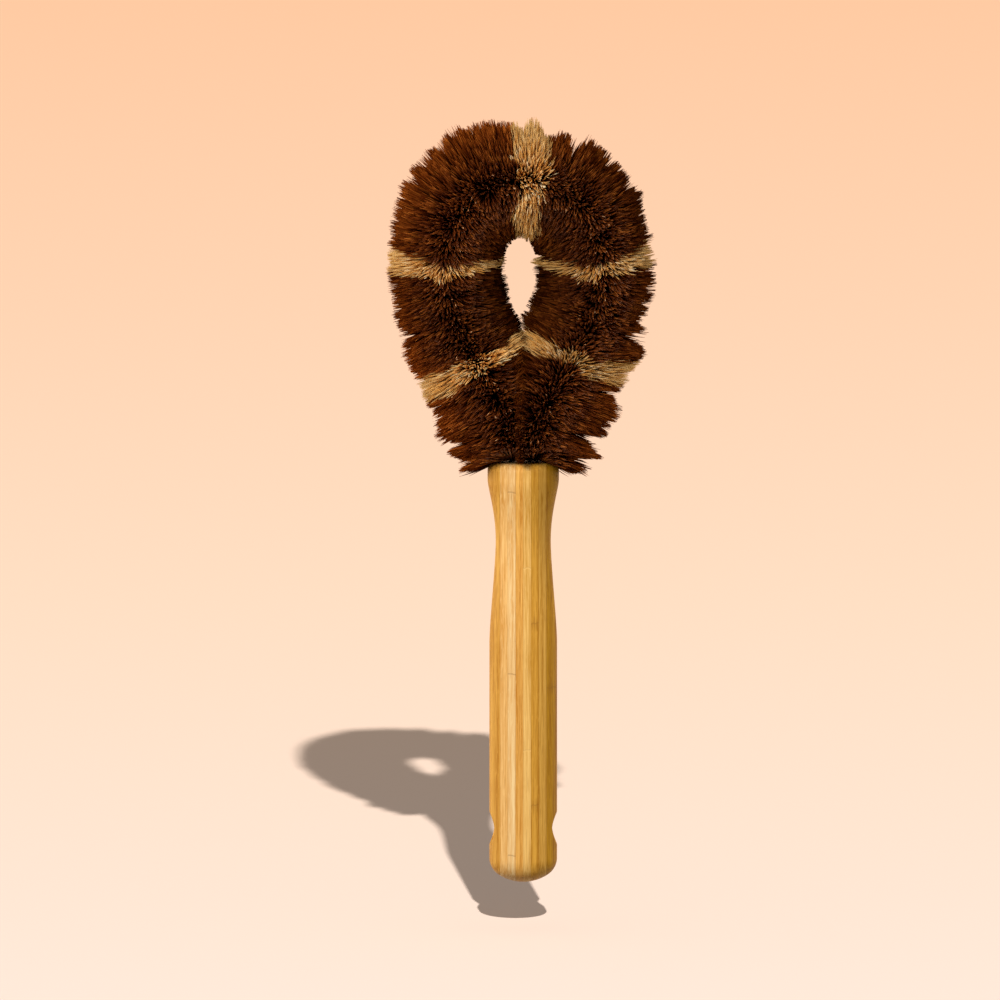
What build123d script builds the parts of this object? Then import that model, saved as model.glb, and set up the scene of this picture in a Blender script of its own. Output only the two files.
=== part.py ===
from build123d import *
import math
import os

# A loop-headed dish brush, in millimetres. A twisted pair of steel wires is bent
# into a teardrop, and fibres clamped along it stand out all round. Both ends of
# the pair are glued into a handle turned from bamboo slats glued side by side.
# The origin is the centre of the hanging hole, on the handle's axis. +Z runs up
# the handle to the head, and +X runs along the hanging hole.

# Handle, turned
HANDLE_LENGTH = 150.5
BODY_RADIUS = 12.05
WAIST_RADIUS = 9.8
WAIST_BELOW_TOP = 28.2
BODY_BELOW_TOP = 65.2
FLARE_RADIUS = 12.7
FLARE_BELOW_TOP = 6.2
RIM_RADIUS = 3.0
BUTT_CROWN_RADIUS = 16.0
BUTT_SHOULDER_RADIUS = 7.1
FLARE_PULL_SHARE = 0.16
WAIST_UPPER_PULL_SHARE = 0.48
WAIST_LOWER_PULL_SHARE = 0.25
BODY_PULL_SHARE = 0.22

# Slats of the handle
SLAT_COUNT = 8
OUTER_GLUE_LINE_INSET = 1.55

# Hanging hole
HANGING_HOLE_RADIUS = 5.5
HANGING_HOLE_ABOVE_BUTT = 19.3
HANGING_HOLE_EDGE = 0.6

# Twisted pair of wires
WIRE_RADIUS = 1.0
WIRE_GAP = 0.06
TWIST_PITCH = 12.0
QUARTERS_PER_TURN = 4
NUDGE_SHARE = 0.01
POINTS_PER_TURN = 24

# Route of the twisted pair, one limb
STEM_DEPTH = 28.0
STEM_LEAD = 1.5
NECK_BEND_RADIUS = 39.0
LIMB_SPLAY = 30.0
SHOULDER_BEND_RADIUS = 57.3
SIDE_RUN = 4.2
LOOP_HALF_WIDTH = 27.4
STRAIGHT_SHARE = 1e-6

# Socket for the two stems
SOCKET_WALL_GAP = 0.4
SOCKET_FLOOR_GAP = 2.5
STEM_CLEARANCE = 0.07

# Fibres
ROOT_THICKNESS = 1.1
ROOT_GAP = 0.4
FIBRE_REACH = 20.3
FIRST_FIBRE_ABOVE_HANDLE = 0.8
LOWER_BAND_AT = 35.0
LOWER_BAND_WIDTH = 4.6
SIDE_BAND_AT = 74.7
SIDE_BAND_WIDTH = 4.5
TOP_BAND_WIDTH = 7.8
TOP_BAND_SHIFT = 2.4
ROW_PITCH = 5.2
STRANDS_PER_ROW = 10
STRAND_ROOT_WIDTH = 1.1
STRAND_TIP_WIDTH = 2.4
STRAND_ROOT_DEPTH_SHARE = 0.5
STRAND_SHORTEST = 5.0
TIP_FILL_SHARE = 0.8
MIDDLE_GAP = 0.6
UNEVEN_REACH = 0.7

# How far every cutting solid runs past what it cuts
OVERRUN = 2.0

# Heights
butt_z = -HANGING_HOLE_ABOVE_BUTT
top_z = butt_z + HANDLE_LENGTH
waist_z = top_z - WAIST_BELOW_TOP
flare_z = top_z - FLARE_BELOW_TOP
body_z = top_z - BODY_BELOW_TOP

# Envelope of the twisted pair, and what fits round it
wire_offset = WIRE_RADIUS + WIRE_GAP / 2
pair_radius = wire_offset + WIRE_RADIUS
bore_radius = pair_radius + STEM_CLEARANCE
root_radius = bore_radius + ROOT_THICKNESS
stem_offset = root_radius + ROOT_GAP / 2
socket_radius = stem_offset + pair_radius + SOCKET_WALL_GAP
socket_depth = STEM_DEPTH + SOCKET_FLOOR_GAP


def handle_solid():
    """The turned handle with its stem socket and its hanging hole."""
    crown_centre = Vector(0, butt_z + BUTT_CROWN_RADIUS)
    shoulder_x = BODY_RADIUS - BUTT_SHOULDER_RADIUS
    between = BUTT_CROWN_RADIUS - BUTT_SHOULDER_RADIUS
    shoulder_centre = crown_centre + Vector(
        shoulder_x, -math.sqrt(between**2 - shoulder_x**2)
    )
    outward = (shoulder_centre - crown_centre).normalized()
    meet = crown_centre + outward * BUTT_CROWN_RADIUS
    half_meet = (outward + Vector(0, -1)).normalized()
    quarter = (outward + Vector(1, 0)).normalized()
    shoulder_end = shoulder_centre + Vector(BUTT_SHOULDER_RADIUS, 0)
    waist_up = Vector(0, flare_z - waist_z)
    waist_down = Vector(0, waist_z - body_z)
    body_top = Vector(BODY_RADIUS, body_z)
    waist = Vector(WAIST_RADIUS, waist_z)
    flare = Vector(FLARE_RADIUS, flare_z)
    rim = Vector(FLARE_RADIUS, top_z - RIM_RADIUS)
    diagonal = Vector(1, 1).normalized()
    rim_centre = Vector(FLARE_RADIUS - RIM_RADIUS, top_z - RIM_RADIUS)
    rim_top = rim_centre + Vector(0, RIM_RADIUS)
    butt = Vector(0, butt_z)
    axis_top = Vector(0, top_z)
    outline = [
        ThreePointArc(butt, crown_centre + half_meet * BUTT_CROWN_RADIUS, meet),
        ThreePointArc(
            meet, shoulder_centre + quarter * BUTT_SHOULDER_RADIUS, shoulder_end
        ),
        Line(shoulder_end, body_top),
        Bezier(
            body_top,
            body_top + waist_down * BODY_PULL_SHARE,
            waist - waist_down * WAIST_LOWER_PULL_SHARE,
            waist,
        ),
        Bezier(
            waist,
            waist + waist_up * WAIST_UPPER_PULL_SHARE,
            flare - waist_up * FLARE_PULL_SHARE,
            flare,
        ),
        Line(flare, rim),
        ThreePointArc(rim, rim_centre + diagonal * RIM_RADIUS, rim_top),
        Line(rim_top, axis_top),
        Line(axis_top, butt),
    ]
    profile = Plane.XZ * make_face(outline)
    turned = revolve(profile, Axis.Z)
    hole_length = 2 * (BODY_RADIUS + OVERRUN)
    hole = Rot(Y=90) * Cylinder(HANGING_HOLE_RADIUS, hole_length)
    bored = turned - hole
    mouths = [e for e in bored.edges() if is_hole_mouth(e)]
    rounded = fillet(mouths, HANGING_HOLE_EDGE)
    socket = Pos(0, 0, top_z - socket_depth) * Cylinder(
        socket_radius,
        socket_depth + OVERRUN,
        align=(Align.CENTER, Align.CENTER, Align.MIN),
    )
    return rounded - socket


def is_hole_mouth(edge):
    """Whether an edge of the bored handle is part of a mouth of the hanging hole."""
    box = edge.bounding_box()
    reach = HANGING_HOLE_RADIUS + OVERRUN
    inside = box.min.Z > -reach and box.max.Z < reach
    return inside and abs(edge.center().X) > HANGING_HOLE_RADIUS


def slat_edges():
    """Where the slats meet, across X, with the outermost edges past the surface."""
    inner_lines = SLAT_COUNT - 2
    outer_line = WAIST_RADIUS - OUTER_GLUE_LINE_INSET
    pitch = 2 * outer_line / inner_lines
    edges = [-outer_line + pitch * i for i in range(inner_lines + 1)]
    past = max(FLARE_RADIUS, BODY_RADIUS) + OVERRUN
    return [-past, *edges, past]


def slats():
    """The handle cut along its glue lines, from left to right."""
    whole = handle_solid()
    edges = slat_edges()
    depth = 2 * (max(FLARE_RADIUS, BODY_RADIUS) + OVERRUN)
    height = HANDLE_LENGTH + 2 * OVERRUN
    middle_z = (butt_z + top_z) / 2
    cut = []
    for left, right in zip(edges, edges[1:]):
        slab = Pos((left + right) / 2, 0, middle_z) * Box(right - left, depth, height)
        cut.append(whole & slab)
    return cut


def limb_runs():
    """One limb of the route from its stem's end to the crown: (length, turn)."""
    splay = math.radians(LIMB_SPLAY)
    sideways = (NECK_BEND_RADIUS + SHOULDER_BEND_RADIUS) * (1 - math.cos(splay))
    slant = (LOOP_HALF_WIDTH - stem_offset - sideways) / math.sin(splay)
    return [
        (STEM_DEPTH + STEM_LEAD, 0.0),
        (NECK_BEND_RADIUS * splay, splay),
        (slant, 0.0),
        (SHOULDER_BEND_RADIUS * splay, -splay),
        (SIDE_RUN, 0.0),
        (LOOP_HALF_WIDTH * math.pi / 2, -math.pi / 2),
    ]


limb_length = sum(length for length, turn in limb_runs())
route_length = 2 * limb_length


def limb_place(s):
    """The place and the outward lean, in radians, at s along the right limb."""
    x, z, lean = stem_offset, top_z - STEM_DEPTH, 0.0
    for length, turn in limb_runs():
        step = min(max(s, 0.0), length)
        if turn:
            radius = length / turn
            after = lean + step / radius
            x += radius * (math.cos(lean) - math.cos(after))
            z += radius * (math.sin(after) - math.sin(lean))
            lean = after
        else:
            x += step * math.sin(lean)
            z += step * math.cos(lean)
        s -= step
        if s <= 0:
            break
    return x, z, lean


def route(t):
    """Place, heading and outward normal at t, from the left stem's end over the top."""
    left = t <= limb_length
    x, z, lean = limb_place(t if left else route_length - t)
    side = -1 if left else 1
    climb = 1 if left else -1
    place = Vector(side * x, 0, z)
    heading = Vector(side * math.sin(lean), 0, math.cos(lean)) * climb
    outward = Vector(side * math.cos(lean), 0, -math.sin(lean))
    return place, heading, outward


def run_ends():
    """Where one straight or round run of the whole route ends and the next starts."""
    ends = []
    travelled = 0.0
    for length, turn in limb_runs():
        travelled += length
        ends.append(travelled)
    return ends + [route_length - e for e in reversed(ends[:-1])]


def route_wire(start, stop):
    """The route between two places on it, as lines and arcs."""
    cuts = [start, *(e for e in run_ends() if start < e < stop), stop]
    edges = []
    for a, b in zip(cuts, cuts[1:]):
        first, middle, last = (route(t)[0] for t in (a, (a + b) / 2, b))
        chord = last - first
        bowed = (middle - first).cross(chord).length > STRAIGHT_SHARE * chord.dot(chord)
        edges.append(
            ThreePointArc(first, middle, last) if bowed else Line(first, last)
        )
    return Wire(edges)


def tube_along(start, stop, radius):
    """A round bar along part of the route."""
    place, heading, outward = route(start)
    across = Plane(origin=place, x_dir=outward, z_dir=heading)
    return sweep(across * Circle(radius), path=route_wire(start, stop))


def twisted_place(t, phase):
    """Where one wire of the pair lies beside the route."""
    place, heading, outward = route(t)
    angle = 2 * math.pi * t / TWIST_PITCH + phase
    aside = outward * math.cos(angle) + heading.cross(outward) * math.sin(angle)
    return place + aside * wire_offset


def arc_middle(start, corner, end):
    """The middle of the arc that runs from start to end, tangent to both legs."""
    chord_middle = (start + end) * 0.5
    half_turn = math.atan2((corner - chord_middle).length, (end - start).length / 2)
    share = math.tan(half_turn / 2) / math.tan(half_turn)
    return chord_middle + (corner - chord_middle) * share


def biarc(p0, d0, p1, d1):
    """Two tangent arcs from p0, heading d0, to p1, heading d1."""
    gap = p1 - p0
    both = gap.dot(d0 + d1)
    spread = 2 * (1 - d0.dot(d1))
    leg = (math.sqrt(both**2 + spread * gap.dot(gap)) - both) / spread
    first_corner = p0 + d0 * leg
    last_corner = p1 - d1 * leg
    joint = (first_corner + last_corner) * 0.5
    return [
        ThreePointArc(p0, arc_middle(p0, first_corner, joint), joint),
        ThreePointArc(joint, arc_middle(joint, last_corner, p1), p1),
    ]


def wire_strand(phase):
    """One wire of the twisted pair, from stem end to stem end."""
    quarters = round(QUARTERS_PER_TURN * route_length / TWIST_PITCH)
    step = route_length / quarters
    nudge = step * NUDGE_SHARE
    places = [twisted_place(step * i, phase) for i in range(quarters + 1)]
    headings = []
    for i in range(quarters + 1):
        t = min(max(step * i, nudge), route_length - nudge)
        ahead = twisted_place(t + nudge, phase) - twisted_place(t - nudge, phase)
        headings.append(ahead.normalized())
    edges = []
    for i in range(quarters):
        edges += biarc(places[i], headings[i], places[i + 1], headings[i + 1])
    across = Plane(origin=places[0], z_dir=headings[0])
    return sweep(across * Circle(WIRE_RADIUS), path=Wire(edges))


def least_gaps():
    """The least gap between turns of one wire, and between the two wires."""
    step = TWIST_PITCH / POINTS_PER_TURN
    count = int(route_length / step)
    one = [twisted_place(step * i, 0.0) for i in range(count)]
    other = [twisted_place(step * i, math.pi) for i in range(count)]
    apart = POINTS_PER_TURN // 2
    own = min(
        (one[i] - p).length for i in range(count) for p in one[i + apart : i + 3 * apart]
    )
    near = min(
        (p - q).length
        for i, p in enumerate(one)
        for q in other[max(0, i - apart) : i + apart]
    )
    return own - 2 * WIRE_RADIUS, near - 2 * WIRE_RADIUS


def socket_glue():
    """The adhesive that fills the socket round the two stems."""
    fill = Pos(0, 0, top_z - socket_depth) * Cylinder(
        socket_radius, socket_depth, align=(Align.CENTER, Align.CENTER, Align.MIN)
    )
    pocket_depth = STEM_DEPTH + WIRE_RADIUS
    for side in (-1, 1):
        fill -= Pos(side * stem_offset, 0, top_z - pocket_depth) * Cylinder(
            bore_radius,
            pocket_depth + OVERRUN,
            align=(Align.CENTER, Align.CENTER, Align.MIN),
        )
    return fill


def strand_aim(t, turn):
    """Where a strand starts on the route, and its aim, a share of a turn from outward."""
    place, heading, outward = route(t)
    angle = 2 * math.pi * turn
    aim = outward * math.cos(angle) + heading.cross(outward) * math.sin(angle)
    return place, heading, aim


def strand_reach(t, place, aim, wanted):
    """How far a strand reaches before it meets those of the other limb."""
    crown_length = LOOP_HALF_WIDTH * math.pi / 2
    inward = -math.copysign(1, place.X) * aim.X
    if abs(t - limb_length) < crown_length or inward <= 0:
        return wanted
    clear = abs(place.X) - MIDDLE_GAP - STRAND_TIP_WIDTH / 2
    return min(wanted, clear / inward)


def strand(t, turn, reach, step):
    """One four-sided strand that stands out of the fibre root and widens to its tip."""
    place, heading, aim = strand_aim(t, turn)
    before, after = (strand_aim(t + s, turn) for s in (-step / 2, step / 2))
    tip_pitch = (after[0] + after[2] * reach - before[0] - before[2] * reach).length
    root_at = bore_radius + ROOT_THICKNESS * STRAND_ROOT_DEPTH_SHARE
    grown = (reach - root_at) / (FIBRE_REACH - root_at)
    full_width = STRAND_ROOT_WIDTH + (STRAND_TIP_WIDTH - STRAND_ROOT_WIDTH) * grown
    tip_width = min(full_width, 2 * tip_pitch * TIP_FILL_SHARE)
    ends = []
    for distance, width in ((root_at, STRAND_ROOT_WIDTH), (reach, tip_width)):
        plane = Plane(origin=place + aim * distance, x_dir=heading, z_dir=aim)
        ends.append((plane * Rectangle(width, width)).face())
    return Solid.make_loft([f.outer_wire() for f in ends], ruled=True)


def fibre_section(start, stop, rows_before):
    """The fibres clamped between two places on the route, with their packed root."""
    root = tube_along(start, stop, root_radius) - tube_along(start, stop, bore_radius)
    rows = max(1, round((stop - start) / ROW_PITCH))
    step = (stop - start) / rows
    strands = []
    for row in range(rows):
        t = start + step * (row + 0.5)
        number = rows_before + row
        for i in range(STRANDS_PER_ROW):
            turn = (i + 0.5 * (number % 2)) / STRANDS_PER_ROW
            place, heading, aim = strand_aim(t, turn)
            wanted = FIBRE_REACH - UNEVEN_REACH * (1 + math.sin(7 * i + 3 * number)) / 2
            reach = strand_reach(t, place, aim, wanted)
            if reach >= STRAND_SHORTEST:
                strands.append(strand(t, turn, reach, step))
    return root.fuse(*strands), rows, len(strands)


def fibre_plan():
    """Each fibre section's name with its start and stop on the route."""
    handle_top = STEM_DEPTH
    first = handle_top + FIRST_FIBRE_ABOVE_HANDLE
    lower = handle_top + LOWER_BAND_AT
    side = handle_top + SIDE_BAND_AT
    crown = limb_length + TOP_BAND_SHIFT
    left_cuts = [first, lower, lower + LOWER_BAND_WIDTH, side, side + SIDE_BAND_WIDTH]
    right_cuts = [route_length - cut for cut in reversed(left_cuts)]
    crown_cuts = [crown - TOP_BAND_WIDTH / 2, crown + TOP_BAND_WIDTH / 2]
    cuts = left_cuts + crown_cuts + right_cuts
    names = [
        "coir_left_neck",
        "sisal_left_lower",
        "coir_left_side",
        "sisal_left_upper",
        "coir_left_crown",
        "sisal_crown",
        "coir_right_crown",
        "sisal_right_upper",
        "coir_right_side",
        "sisal_right_lower",
        "coir_right_neck",
    ]
    return list(zip(names, cuts, cuts[1:]))


def write(shape, name):
    """Writes one named piece and prints what it holds."""
    export_step(shape, f"parts/{name}.step")
    solids = shape.solids()
    print(name, len(solids), "solid(s)", round(sum(s.volume for s in solids), 1), "mm3")


def main():
    os.makedirs("parts", exist_ok=True)
    for number, slat in enumerate(slats(), start=1):
        write(slat, f"handle_slat_{number}")
    write(socket_glue(), "socket_glue")
    write(wire_strand(0.0), "wire_strand_a")
    write(wire_strand(math.pi), "wire_strand_b")
    own_gap, pair_gap = least_gaps()
    print("least gap of a wire to itself", round(own_gap, 2), "mm")
    print("least gap between the two wires", round(pair_gap, 3), "mm")
    rows_before, total = 0, 0
    for name, start, stop in fibre_plan():
        section, rows, strands = fibre_section(start, stop, rows_before)
        write(section, name)
        rows_before += rows
        total += strands
    print("strands in all:", total)


main()
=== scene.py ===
"""A loop-headed dish brush: its handle, wires and fibres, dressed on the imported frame."""

import math

import bpy
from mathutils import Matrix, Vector


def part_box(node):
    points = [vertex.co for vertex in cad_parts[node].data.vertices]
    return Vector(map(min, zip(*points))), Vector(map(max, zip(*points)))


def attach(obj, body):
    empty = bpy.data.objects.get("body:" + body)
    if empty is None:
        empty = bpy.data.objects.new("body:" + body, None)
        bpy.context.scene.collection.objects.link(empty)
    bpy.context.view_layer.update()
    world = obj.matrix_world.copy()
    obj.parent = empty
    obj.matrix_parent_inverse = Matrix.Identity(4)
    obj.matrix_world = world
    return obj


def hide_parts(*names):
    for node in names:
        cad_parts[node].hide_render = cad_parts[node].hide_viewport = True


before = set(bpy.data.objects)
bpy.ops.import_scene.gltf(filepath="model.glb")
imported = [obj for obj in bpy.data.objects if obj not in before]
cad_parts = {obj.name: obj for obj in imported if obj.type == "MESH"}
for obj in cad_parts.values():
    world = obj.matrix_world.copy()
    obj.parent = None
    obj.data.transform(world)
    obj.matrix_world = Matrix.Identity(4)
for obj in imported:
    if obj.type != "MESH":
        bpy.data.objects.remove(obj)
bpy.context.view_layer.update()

bl_info = {
    "name": "Loop Dish Brush",
    "version": (1, 0, 0),
    "blender": (4, 5, 0),
    "location": "3D View > Sidebar > Dish Brush",
    "description": "Dresses a loop-headed dish brush with bamboo, wire and plant fibres",
    "category": "Object",
}

MM = 0.001
TURN = 2 * math.pi
BODY = "root"

# Nodes of the frame: the slats from left to right, the wires, and the fibre runs along
# the loop from the left stem to the right one
SLATS = [f"handle_slat_{number}" for number in range(1, 9)]
WIRES = ["wire_strand_a", "wire_strand_b"]
FIBRE_RUNS = [
    "coir_left_neck",
    "sisal_left_lower",
    "coir_left_side",
    "sisal_left_upper",
    "coir_left_crown",
    "sisal_crown",
    "coir_right_crown",
    "sisal_right_upper",
    "coir_right_side",
    "sisal_right_lower",
    "coir_right_neck",
]

# Heights that the frame gives
handle_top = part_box("handle_slat_4")[1].z
butt_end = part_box("handle_slat_4")[0].z

# How far the outer tips stand beyond the plain reach: (along the limb from the
# handle's top, extra reach), in millimetres
OUTER_EXTRA = {
    "left": [
        (0, -1.8), (6, -1.4), (10, 3.4), (15, -1.2), (20, 5.6), (24, 4.0), (28, 0.6), (34, 2.0),
        (40, 0.6), (50, 0.6), (56, -0.9), (62, 0.0), (68, -1.5), (74, 0.6), (78, 0.1),
        (82, -1.3), (86, 0.7), (90, 0.8), (94, 2.7), (102, 2.9), (108, 3.6), (114, 1.8),
        (121, -0.5),
    ],
    "right": [
        (0, -7.0), (2, -5.0), (5, 4.0), (8, 4.9), (13, -3.2), (18, 3.6), (22, 3.6), (27, 4.0),
        (31, 0.7), (34, -0.6), (38, 0.5), (42, -0.4), (47, 1.4), (51, -0.4), (55, -2.2),
        (58, -4.5), (62, -3.1), (66, -0.7), (76, -2.3), (82, -3.1), (87, -2.4), (91, -0.8),
        (98, -0.8), (104, 0.0), (107, 0.7), (109, -2.9), (112.3, -1.4), (116, -5.2),
        (118.5, 1.3), (121, -1.4),
    ],
}

# The same for the tips inside the loop
INNER_EXTRA = {
    "left": [(38, 0.0), (44, 1.0), (60, 0.5), (66, -0.3), (108, 0.0), (121, 0.3)],
    "right": [(38, 0.0), (44, 3.0), (60, 2.2), (72, 2.4), (92, 1.7), (104, 1.6), (121, 0.8)],
}

# Painted light and shade on the coir, as a share of its own colour: darker on the inner side of the loop,
# where little light comes in, lighter on the outer side and the faces, where the lamps fall, and darker on
# the right limb, away from the key lamp. (along the limb from the handle's top in millimetres, then the
# share on the outer side, the faces and the inner side)
PAINTED_COIR_SHADING = {
    "left": [
        (0, (1.8, 1.45, 1.0)), (25, (2.0, 1.6, 0.7)), (42, (2.2, 1.5, 0.2)), (60, (1.4, 1.4, 0.15)),
        (74, (1.08, 1.6, 0.15)), (90, (1.33, 1.95, 0.2)), (106, (1.28, 1.65, 0.7)),
        (121, (1.53, 1.35, 0.9)),
    ],
    "right": [
        (0, (1.25, 1.45, 1.0)), (25, (1.25, 1.6, 0.7)), (42, (1.0, 1.5, 0.35)),
        (60, (0.7, 1.45, 0.2)), (74, (0.56, 1.5, 0.2)), (90, (0.32, 1.5, 0.25)),
        (106, (0.92, 1.3, 0.7)), (121, (1.45, 1.25, 0.9)),
    ],
}

# The same painted light and shade for each pale band
PAINTED_SISAL_SHADING = {
    "sisal_left_lower": (1.03, 1.35, 1.0),
    "sisal_right_lower": (1.05, 0.85, 1.0),
    "sisal_left_upper": (0.92, 1.22, 0.8),
    "sisal_right_upper": (0.68, 1.1, 0.75),
    "sisal_crown": (0.83, 1.18, 1.1),
}

# Slits between tufts on the outer side: (limb, along it, half the gap at the tips), in
# millimetres
SLITS = [
    ("left", 3.5, 1.4),
    ("left", 12.0, 1.8),
    ("left", 20.0, 0.8),
    ("left", 31.0, 1.0),
    ("left", 55.0, 1.4),
    ("left", 63.0, 0.8),
    ("left", 70.0, 0.8),
    ("left", 86.0, 0.8),
    ("left", 95.2, 2.1),
    ("left", 98.8, 1.3),
    ("left", 103.8, 1.0),
    ("left", 107.5, 1.0),
    ("left", 113.0, 0.8),
    ("right", 3.8, 2.6),
    ("right", 9.0, 0.9),
    ("right", 14.8, 2.3),
    ("right", 22.0, 1.0),
    ("right", 31.2, 1.9),
    ("right", 52.8, 3.4),
    ("right", 58.0, 1.0),
    ("right", 63.5, 1.4),
    ("right", 67.5, 1.4),
    ("right", 86.5, 1.0),
    ("right", 94.0, 1.9),
    ("right", 101.0, 1.4),
    ("right", 109.2, 2.2),
]

# How the tips of each pale band stand: how far they spread beyond its width, then how
# far they shift towards the crown, each on the outer side, the faces and the inner
# side, in millimetres. The crown's own band shifts to the right.
BAND_TIPS = {
    "sisal_left_lower": ((3.0, 1.2, -0.4), (2.2, 0.4, 0.4)),
    "sisal_right_lower": ((3.7, 0.8, 1.4), (8.4, 5.2, 0.0)),
    "sisal_left_upper": ((2.4, 0.3, -1.0), (0.0, -2.6, 0.2)),
    "sisal_right_upper": ((2.0, 0.6, -0.9), (3.2, -2.4, 0.2)),
    "sisal_crown": ((0.9, 2.5, 3.6), (-0.9, 1.2, -0.5)),
}

# How far the lowest outer tips droop to the handle, how far those of the faces rise, and
# how far up the limb each fades, in millimetres
FOOT_DROOP = 4.5
FOOT_DROOP_FADE = 9.0
FOOT_LIFT = 4.0
FOOT_LIFT_FADE = 7.0

# Distance between the points of the fibres' route, in millimetres
ROUTE_STEP = 0.25

# The most fibres in one piece, so that each stays under the limit on triangles
FIBRES_PER_PIECE = 13000


class BrushLoop(bpy.types.PropertyGroup):
    """The route of the twisted wire, one limb."""

    stem_offset: bpy.props.FloatProperty(
        name="Stem Offset", description="From the handle's axis to each wire stem",
        default=3.4 * MM, unit="LENGTH",
    )
    stem_lead: bpy.props.FloatProperty(
        name="Stem Lead", description="Straight wire above the handle before it bends",
        default=1.5 * MM, unit="LENGTH",
    )
    neck_bend: bpy.props.FloatProperty(
        name="Neck Bend", description="Radius of the outward bend at the neck",
        default=39.0 * MM, unit="LENGTH",
    )
    splay: bpy.props.FloatProperty(
        name="Splay", description="Lean of each limb away from the handle's axis",
        default=math.radians(30.0), subtype="ANGLE",
    )
    shoulder_bend: bpy.props.FloatProperty(
        name="Shoulder Bend", description="Radius of the bend back to upright",
        default=57.3 * MM, unit="LENGTH",
    )
    side_run: bpy.props.FloatProperty(
        name="Side Run", description="Straight wire below the round crown",
        default=4.2 * MM, unit="LENGTH",
    )
    half_width: bpy.props.FloatProperty(
        name="Half Width", description="Radius of the round crown of the loop",
        default=27.4 * MM, unit="LENGTH",
    )
    first_fibre: bpy.props.FloatProperty(
        name="First Fibre", description="From the handle's top to the first fibres",
        default=0.8 * MM, unit="LENGTH",
    )
    lower_band: bpy.props.FloatProperty(
        name="Lower Band", description="From the handle's top, along the wire, to the lower pale band",
        default=35.0 * MM, unit="LENGTH",
    )
    lower_band_width: bpy.props.FloatProperty(
        name="Lower Band Width", description="Width of the lower pale band along the wire",
        default=4.6 * MM, unit="LENGTH",
    )
    side_band: bpy.props.FloatProperty(
        name="Side Band", description="From the handle's top, along the wire, to the side pale band",
        default=74.7 * MM, unit="LENGTH",
    )
    side_band_width: bpy.props.FloatProperty(
        name="Side Band Width", description="Width of the side pale band along the wire",
        default=4.5 * MM, unit="LENGTH",
    )
    crown_band_width: bpy.props.FloatProperty(
        name="Crown Band Width", description="Width of the pale band at the crown",
        default=7.8 * MM, unit="LENGTH",
    )
    crown_band_shift: bpy.props.FloatProperty(
        name="Crown Band Shift", description="How far the crown's pale band lies right of the middle",
        default=2.4 * MM, unit="LENGTH",
    )


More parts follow.
